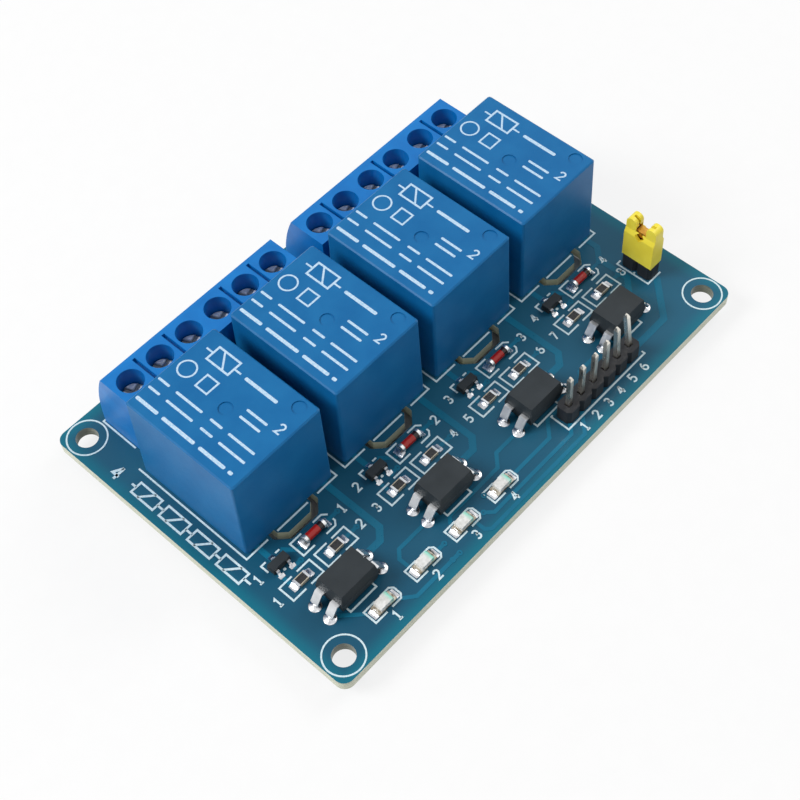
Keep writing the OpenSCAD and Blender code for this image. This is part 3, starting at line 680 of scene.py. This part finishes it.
def silk_title(bm):
    """The number of channels and as many coil signs, in the place of the title."""
    sign_gap, lead = 1.2, 0.8
    left, right = TITLE_X - TITLE_HALF, TITLE_X + TITLE_HALF
    add_digit(bm, str(CHANNELS), 2.1, 42.9, 2.0, 0.36, 0, SILK_T, turned=True)
    silk_line(bm, [(TITLE_X, TITLE_BACK), (TITLE_X, TITLE_BACK - lead)], width=TITLE_W)
    for k in range(CHANNELS):
        back = TITLE_BACK - lead - k * TITLE_PITCH
        front = back - TITLE_PITCH + sign_gap
        box = [(left, back), (right, back), (right, front), (left, front)]
        silk_line(bm, box, closed=True, width=TITLE_W)
        silk_line(bm, [(left, back - sign_gap), (right, front + sign_gap)], width=TITLE_W)
        silk_line(bm, [(TITLE_X, front), (TITLE_X, front - sign_gap)], width=TITLE_W)


def make_silkscreen():
    """All white print on the board, as one piece."""
    bm = bmesh.new()
    silk_relays(bm)
    silk_small_parts(bm)
    silk_connectors(bm)
    silk_numbers(bm)
    silk_title(bm)
    new_piece("board_print", bm, SILK_INK)


# ---------------------------------------------------------------- copper on the board
VIA_R, VIA_W, VIA_STEPS = 0.28, 0.26, 20
LOAD_TRACK_W = 2.4


def channel_tracks(x):
    """Tracks that every channel repeats, as points and width."""
    return [
        ([(x - 6.1, 18.6), (x - 6.1, 23)], 0.8),
        ([(x - 4.4, 18.9), (x - 3.0, 17.2), (x - 2.2, 17.2)], 0.6),
        ([(x + 1.7, 13.9), (x + 4.2, 13.9)], TRACK_W),
        ([(x + 1.8, 17.3), (x + 4.2, 17.3)], TRACK_W),
        ([(x - 5.0, 16.6), (x - 5.0, 15.9), (x - 3.8, 15.9)], TRACK_W),
        ([(x - 7.0, 16.6), (x - 7.0, 14.5)], TRACK_W),
    ]


def long_tracks():
    """Tracks between the header, the lamps, the optocouplers and the back of the board."""
    left = [x - 4.57 for x, _ in OPTOS]
    right = [x + 4.6 for x, _ in OPTOS]
    last_pin = PIN_X + (PIN_COUNT - 1) * PIN_PITCH
    to_back = [([(near, 10.3), (x + 4.7, 10.3), (x + 6.1, 11.7), (x + 6.1, 44)], 1.0)
               for near, (x, _) in zip(right[:-1], RELAYS)]
    return to_back + [
        ([(right[3], 10.1), (70.5, 12.6), (70.5, 17.6), (72.1, 19.2), (72.1, 44)], 0.9),
        ([(last_pin, 4.4), (68.1, 4.4), (73.1, 9.4), (73.1, 11.1)], 1.0),
        ([(left[0], 7.6), (6.2, 7.2), (8.8, 4.6)], TRACK_W),
        ([(LED_X + 1.4, 3.4), (13.1, 2.9), (14.6, 1.65), (22.5, 1.65)], TRACK_W),
        ([(16.9, 4.6), (16.9, 6.7), (17.9, 7.7), (left[1], 7.7)], TRACK_W),
        ([(24.3, 4.6), (25.6, 6.1), (35.0, 6.1), (36.6, 7.7), (left[2], 7.7)], TRACK_W),
        ([(34.6, 3.95), (42.9, 3.95), (44.9, 5.95), (52.0, 5.95), (53.7, 7.6),
          (left[3], 7.6)], TRACK_W),
        ([(28.8, 3.15), (29.8, 2.15), (45.2, 2.15), (47.3, 4.2)], TRACK_W),
        ([(27.1, 3.2), (27.1, 1.5), (27.75, 0.85), (46.4, 0.85), (49.84, 4.3)], TRACK_W),
        ([(19.6, 3.95), (22.2, 3.95)], TRACK_W),
    ]


def via_places():
    """Where tracks of the real board pass through it: rings only, without a hole."""
    places = [(22.2, 3.95), (21.2, 1.65), (22.5, 1.65), (28.8, 3.15), (30.7, 4.75)]
    for x, _ in RELAYS:
        places += [(x + 4.2, 13.9), (x + 4.2, 17.3), (x - 5.0, 15.9), (x - 3.8, 15.9)]
    return places


def make_top_tracks():
    """Tracks and via rings that show through the mask on the top face."""
    bm = bmesh.new()
    tracks = long_tracks()
    for x, _ in RELAYS:
        tracks += channel_tracks(x)
    for points, width in tracks:
        add_line(bm, points, width, 0, COPPER_T)
    for x, y in via_places():
        add_ring(bm, x, y, VIA_R, VIA_W, COPPER_T * 0.5, COPPER_T * 1.6, VIA_STEPS)
    new_piece("top_tracks", bm, COPPER_MASK)


def make_bottom_tracks():
    """Wide load tracks from the relays to the terminals, and thin coil tracks.

    Tracks that meet differ in height, so that their outer faces don't coincide."""
    bm = bmesh.new()
    for i, (x, _) in enumerate(RELAYS):
        first = TERMINAL_X + 3 * TERMINAL_PITCH * i + (BLOCK_GAP if i > 1 else 0)
        for k, (dx, pin_y) in enumerate(LOAD_PINS):
            target = first + k * TERMINAL_PITCH
            bend, end = (38.6, 40.6) if k == 1 else (38.9, 41.0)
            points = [(x + dx, pin_y), (x + dx, bend), (target, end), (target, 42.8)]
            add_line(bm, points, LOAD_TRACK_W, 0, COPPER_T, put=below)
        add_line(bm, [(x + 6, 23.7), (x + 6, 17.9)], 0.8, 0, COPPER_T * 0.8, put=below)
    supply = [(73.1, 13.6), (73.1, 16.9), (72.1, 17.9), (14, 17.9)]
    ground = [(PIN_X, PIN_Y), (PIN_X - 3, 7.6), (5.4, 7.6)]
    add_line(bm, supply, 1.0, 0, COPPER_T, put=below)
    add_line(bm, ground, 0.8, 0, COPPER_T * 0.9, put=below)
    new_piece("bottom_tracks", bm, COPPER_MASK)


# ---------------------------------------------------------------- pads and solder
# Length along the pad, width and height of the solder at each kind of part
RESISTOR_FILLET = (0.85, 1.3, 0.42)
DIODE_FILLET = (0.85, 1.6, 0.95)
TRANSISTOR_FILLET = (0.45, 0.9, 0.22)
LED_FILLET = (0.8, 1.52, 0.4)
# Turn in degrees and side of the two ends of a part that lies along x
ENDS = ((0, 1), (180, -1))
# How far inside of those ends the solder starts
RESISTOR_LAP, DIODE_LAP, LED_LAP = 0.08, 0.15, 0.2
# A transistor's leads: dx and dy from its middle, and turn in degrees
TRANSISTOR_LEADS = ((0, 1.25, 90), (-0.95, -1.25, 270), (0.95, -1.25, 270))


def fillet_rows(length, width, height, steps, across):
    """Points of a fillet's top: hollow along the pad, domed across, narrower at the tip."""
    hollow, dome, taper, tip_t = 1.8, 0.35, 0.12, 0.05
    rows = []
    for a in range(steps + 1):
        u = a / steps
        row = []
        for b in range(across + 1):
            v = 2 * b / across - 1
            rise = height * (1 - u) ** hollow * (1 - dome * v * v) + tip_t
            row.append((u * length, v * width / 2 * (1 - taper * u * u), rise))
        rows.append(row)
    return rows


def add_fillet(bm, x, y, way, size):
    """Solder running from a part's end face down to the tip of its pad."""
    steps, across = 6, 8
    turn = math.radians(way)
    c, s = math.cos(turn), math.sin(turn)

    def put(px, py, pz):
        return bm.verts.new(place(x + px * c - py * s, y + px * s + py * c, pz))

    rows = fillet_rows(*size, steps, across)
    top = [[put(*point) for point in row] for row in rows]
    base = [[put(px, py, 0) for px, py, _ in row] for row in rows]
    for a in range(steps):
        for b in range(across):
            bm.faces.new((top[a][b], top[a + 1][b], top[a + 1][b + 1], top[a][b + 1]))
            bm.faces.new((base[a][b], base[a][b + 1], base[a + 1][b + 1], base[a + 1][b]))
        for b in (0, across):
            bm.faces.new((top[a][b], base[a][b], base[a + 1][b], top[a + 1][b]))
    for a in (0, steps):
        for b in range(across):
            bm.faces.new((top[a][b], top[a][b + 1], base[a][b + 1], base[a][b]))


def make_chip_solder():
    """Solder at the ends of the chips, lamps, diodes and transistors."""
    bm = bmesh.new()
    for x, _ in RELAYS:
        for way, side in ENDS:
            for dx in RESISTOR_DX:
                end = x + dx + side * (CHIP_L / 2 - RESISTOR_LAP)
                add_fillet(bm, end, RESISTOR_Y, way, RESISTOR_FILLET)
            end = x + side * (DIODE_L / 2 - DIODE_LAP)
            add_fillet(bm, end, DIODE_Y, way, DIODE_FILLET)
        for dx, dy, way in TRANSISTOR_LEADS:
            add_fillet(bm, x + TRANSISTOR_DX + dx, TRANSISTOR_Y + dy, way, TRANSISTOR_FILLET)
    for x, y in LEDS:
        for way, side in ENDS:
            add_fillet(bm, x + side * (LED_L / 2 - LED_LAP), y, way, LED_FILLET)
    new_piece("chip_solder", bm, FINISHES["solder"], smooth_angle=50)


def make_lead_solder():
    """Round solder pads where the optocouplers' leads enter the board."""
    bm = bmesh.new()
    r = LEAD_PAD_D / 2
    profile = [(0, 0), (r, 0), (r, 0.05), (r * 0.85, 0.13), (r * 0.6, 0.18), (r * 0.42, 0.3),
               (0, 0.36)]
    for x, y in OPTOS:
        for side in (-1, 1):
            for row in (-1, 1):
                add_turned(bm, x + side * OPTO_SPAN / 2, y + row * PIN_PITCH / 2, profile)
    new_piece("lead_solder", bm, FINISHES["solder"], smooth_angle=60)


# ---------------------------------------------------------------- print on the relays
# Places on a relay's top: dx from its middle line and y from its front
INK_LOW, INK_HIGH = RELAY_TOP - INK_T, RELAY_TOP + INK_T
WIDE_BAR, THIN_BAR, SIGN_W, LINE_W = 0.5, 0.36, 0.3, 0.26
# Share of the ink's height that the coil sign's slanted bar has, so that it doesn't
# coincide with the box that it meets
SLANT_RISE = 0.8
# Bars in the place of words: dx, both ends along y, and width
WORD_BARS = (
    [(-6.0, y0, y1, WIDE_BAR) for y0, y1 in ((14.7, 18.6), (8.2, 13.9), (2.9, 7.4), (1.6, 2.3))]
    + [(dx, y0, y1, THIN_BAR) for dx in (-3.95, -2.3)
       for y0, y1 in ((16.6, 18.6), (10.7, 15.4), (7.2, 9.3), (1.6, 6.1))]
    + [(dx, 3.4, 6.9, THIN_BAR) for dx in (0.35, 1.6)]
    + [(4.7, 4.8, 10.4, WIDE_BAR)]
)


def case_line(bm, x, points, width, closed=False, high=INK_HIGH):
    """A printed line on top of the relay whose middle line is at x."""
    spots = [(x + dx, RELAY_FRONT + y) for dx, y in points]
    add_line(bm, spots, width, INK_LOW, high, closed)


def word_bar(bm, x, y0, y1, width):
    """A bar with round ends, in the place of a word."""
    outline = rounded(x - width / 2, RELAY_FRONT + y0, x + width / 2, RELAY_FRONT + y1,
                      width / 2.5)
    add_plate(bm, outline, INK_LOW, INK_HIGH)


def coil_sign(bm, x):
    """A box with a slanted bar and two leads, the usual sign for a relay's coil."""
    left, right, front, back = 3.6, 5.9, 12.4, 16.2
    middle_x = (left + right) / 2
    box = [(left, front), (right, front), (right, back), (left, back)]
    case_line(bm, x, box, SIGN_W, closed=True)
    slant = [(left, front + 1.0), (right, back - 1.0)]
    case_line(bm, x, slant, LINE_W, high=RELAY_TOP + INK_T * SLANT_RISE)
    for ends in ((11.2, 12.25), (16.35, 17.4)):
        case_line(bm, x, [(middle_x, y) for y in ends], LINE_W)


def make_relay_print():
    """Bars and plain shapes in the place of the relays' printing."""
    square = [(-0.1, 12.3), (2.0, 12.3), (2.0, 14.3), (-0.1, 14.3)]
    for i, (x, _) in enumerate(RELAYS):
        bm = bmesh.new()
        for dx, y0, y1, width in WORD_BARS:
            word_bar(bm, x + dx, y0, y1, width)
        add_ring(bm, x + 0.95, RELAY_FRONT + 16.9, 1.25, 0.24, INK_LOW, INK_HIGH)
        case_line(bm, x, square, LINE_W, closed=True)
        coil_sign(bm, x)
        add_digit(bm, "2", x + 2.3, RELAY_FRONT + 1.8, 1.5, 0.24, INK_LOW, INK_HIGH, turned=True)
        new_piece(f"relay_print_{i + 1}", bm, CASE_INK)


# ---------------------------------------------------------------- stage, lights and camera
FLOOR_REACH, FLOOR_GLOW = 1.5, 0.8
# The floor's glow fades out between these distances inside of the board's edges
GLOW_TO, DARK_FROM = 6.4, 7.0
WORLD_LIGHT = 0.38
# Square soft lights that face the origin: place and side in metres, then watts
LIGHTS = {
    "key_light": ((-0.45, 0.3, 0.5), 0.3, 4.0),
    "side_light": ((0.5, -0.08, 0.45), 0.3, 1.6),
    "fill_light": ((-0.2, -0.5, 0.5), 0.5, 0.4),
}
# Where the photograph was taken from, in metres, and its frame on the sensor
CAMERA_AT = Vector((-0.08670, -0.08965, 0.18131))
CAMERA_LOOK = Vector((0.00267, -0.00071, 0.010))
CAMERA_ROLL = -3.33
CAMERA_LENS, CAMERA_SENSOR = 72.09, 36
CAMERA_SHIFT = (-0.0221, -0.0911)


def seen_by_eye(tree):
    """1 for camera, glossy and transmission rays, so metal and glass show the backdrop too."""
    path = tree.nodes.new("ShaderNodeLightPath")
    seen = path.outputs["Is Camera Ray"]
    for ray in ("Is Glossy Ray", "Is Transmission Ray"):
        either = tree.nodes.new("ShaderNodeMath")
        either.operation = "MAXIMUM"
        tree.links.new(seen, either.inputs[0])
        tree.links.new(path.outputs[ray], either.inputs[1])
        seen = either.outputs[0]
    return seen


def floor_paper():
    """White paper that keeps the shadow, and stays dark well under the board."""
    paper = Finish("floor_paper", 1.0, specular=0.0)
    fibres = paper.noise(3.0, detail=4)
    paper.colour(paper.tones(fibres, (0.8, 0.8, 0.8, 1), (0.84, 0.84, 0.84, 1)))
    open_floor = paper.span(reach_inside(paper), GLOW_TO * MM, DARK_FROM * MM, 1.0, 0.0)
    glow = paper.math("MULTIPLY", open_floor, FLOOR_GLOW)
    glow = paper.math("MULTIPLY", glow, seen_by_eye(paper.tree))
    white = paper.node("ShaderNodeEmission")
    blend = paper.node("ShaderNodeMixShader")
    for k, output in enumerate((glow, paper.shader.outputs[0], white.outputs[0])):
        paper.link(output, blend.inputs[k])
    paper.link(blend.outputs[0], paper.tree.nodes["Material Output"].inputs["Surface"])
    return paper


def make_floor():
    """A wide flat sheet under the board."""
    mesh = bpy.data.meshes.new("floor")
    r = FLOOR_REACH
    mesh.from_pydata([(-r, -r, 0), (r, -r, 0), (r, r, 0), (-r, r, 0)], [], [(0, 1, 2, 3)])
    floor = bpy.data.objects.new("floor", mesh)
    bpy.context.scene.collection.objects.link(floor)
    mesh.materials.append(floor_paper().material)


def make_world():
    """Soft light from all round, which the camera and the gloss see as plain white."""
    world = bpy.data.worlds.new("studio")
    bpy.context.scene.world = world
    world.use_nodes = True
    tree = world.node_tree
    background = tree.nodes["Background"]
    background.inputs["Color"].default_value = (1, 1, 1, 1)
    strength = tree.nodes.new("ShaderNodeMapRange")
    strength.inputs["To Min"].default_value = WORLD_LIGHT
    strength.inputs["To Max"].default_value = 1.0
    tree.links.new(seen_by_eye(tree), strength.inputs["Value"])
    tree.links.new(strength.outputs["Result"], background.inputs["Strength"])


def make_lights():
    """The square soft lights, each turned to the origin."""
    for name, (location, side, power) in LIGHTS.items():
        light = bpy.data.lights.new(name, "AREA")
        light.shape = "SQUARE"
        light.size = side
        light.energy = power
        lamp = bpy.data.objects.new(name, light)
        lamp.location = location
        lamp.rotation_euler = (-Vector(location)).to_track_quat("-Z", "Y").to_euler()
        bpy.context.scene.collection.objects.link(lamp)


def make_camera():
    """The photograph's camera, aimed along its axis and turned by its roll."""
    data = bpy.data.cameras.new("camera")
    camera = bpy.data.objects.new("camera", data)
    bpy.context.scene.collection.objects.link(camera)
    data.sensor_width = CAMERA_SENSOR
    data.lens = CAMERA_LENS
    data.shift_x, data.shift_y = CAMERA_SHIFT
    data.clip_start = 0.005
    aim = (CAMERA_LOOK - CAMERA_AT).to_track_quat("-Z", "Y").to_matrix().to_4x4()
    roll = Matrix.Rotation(math.radians(CAMERA_ROLL), 4, "Z")
    camera.matrix_world = Matrix.Translation(CAMERA_AT) @ aim @ roll
    bpy.context.scene.camera = camera
    bpy.context.scene.view_settings.view_transform = "Standard"


make_camera()
make_world()
make_lights()
make_floor()
dress_cad_nodes()
make_silkscreen()
make_top_tracks()
make_bottom_tracks()
make_chip_solder()
make_lead_solder()
make_relay_print()
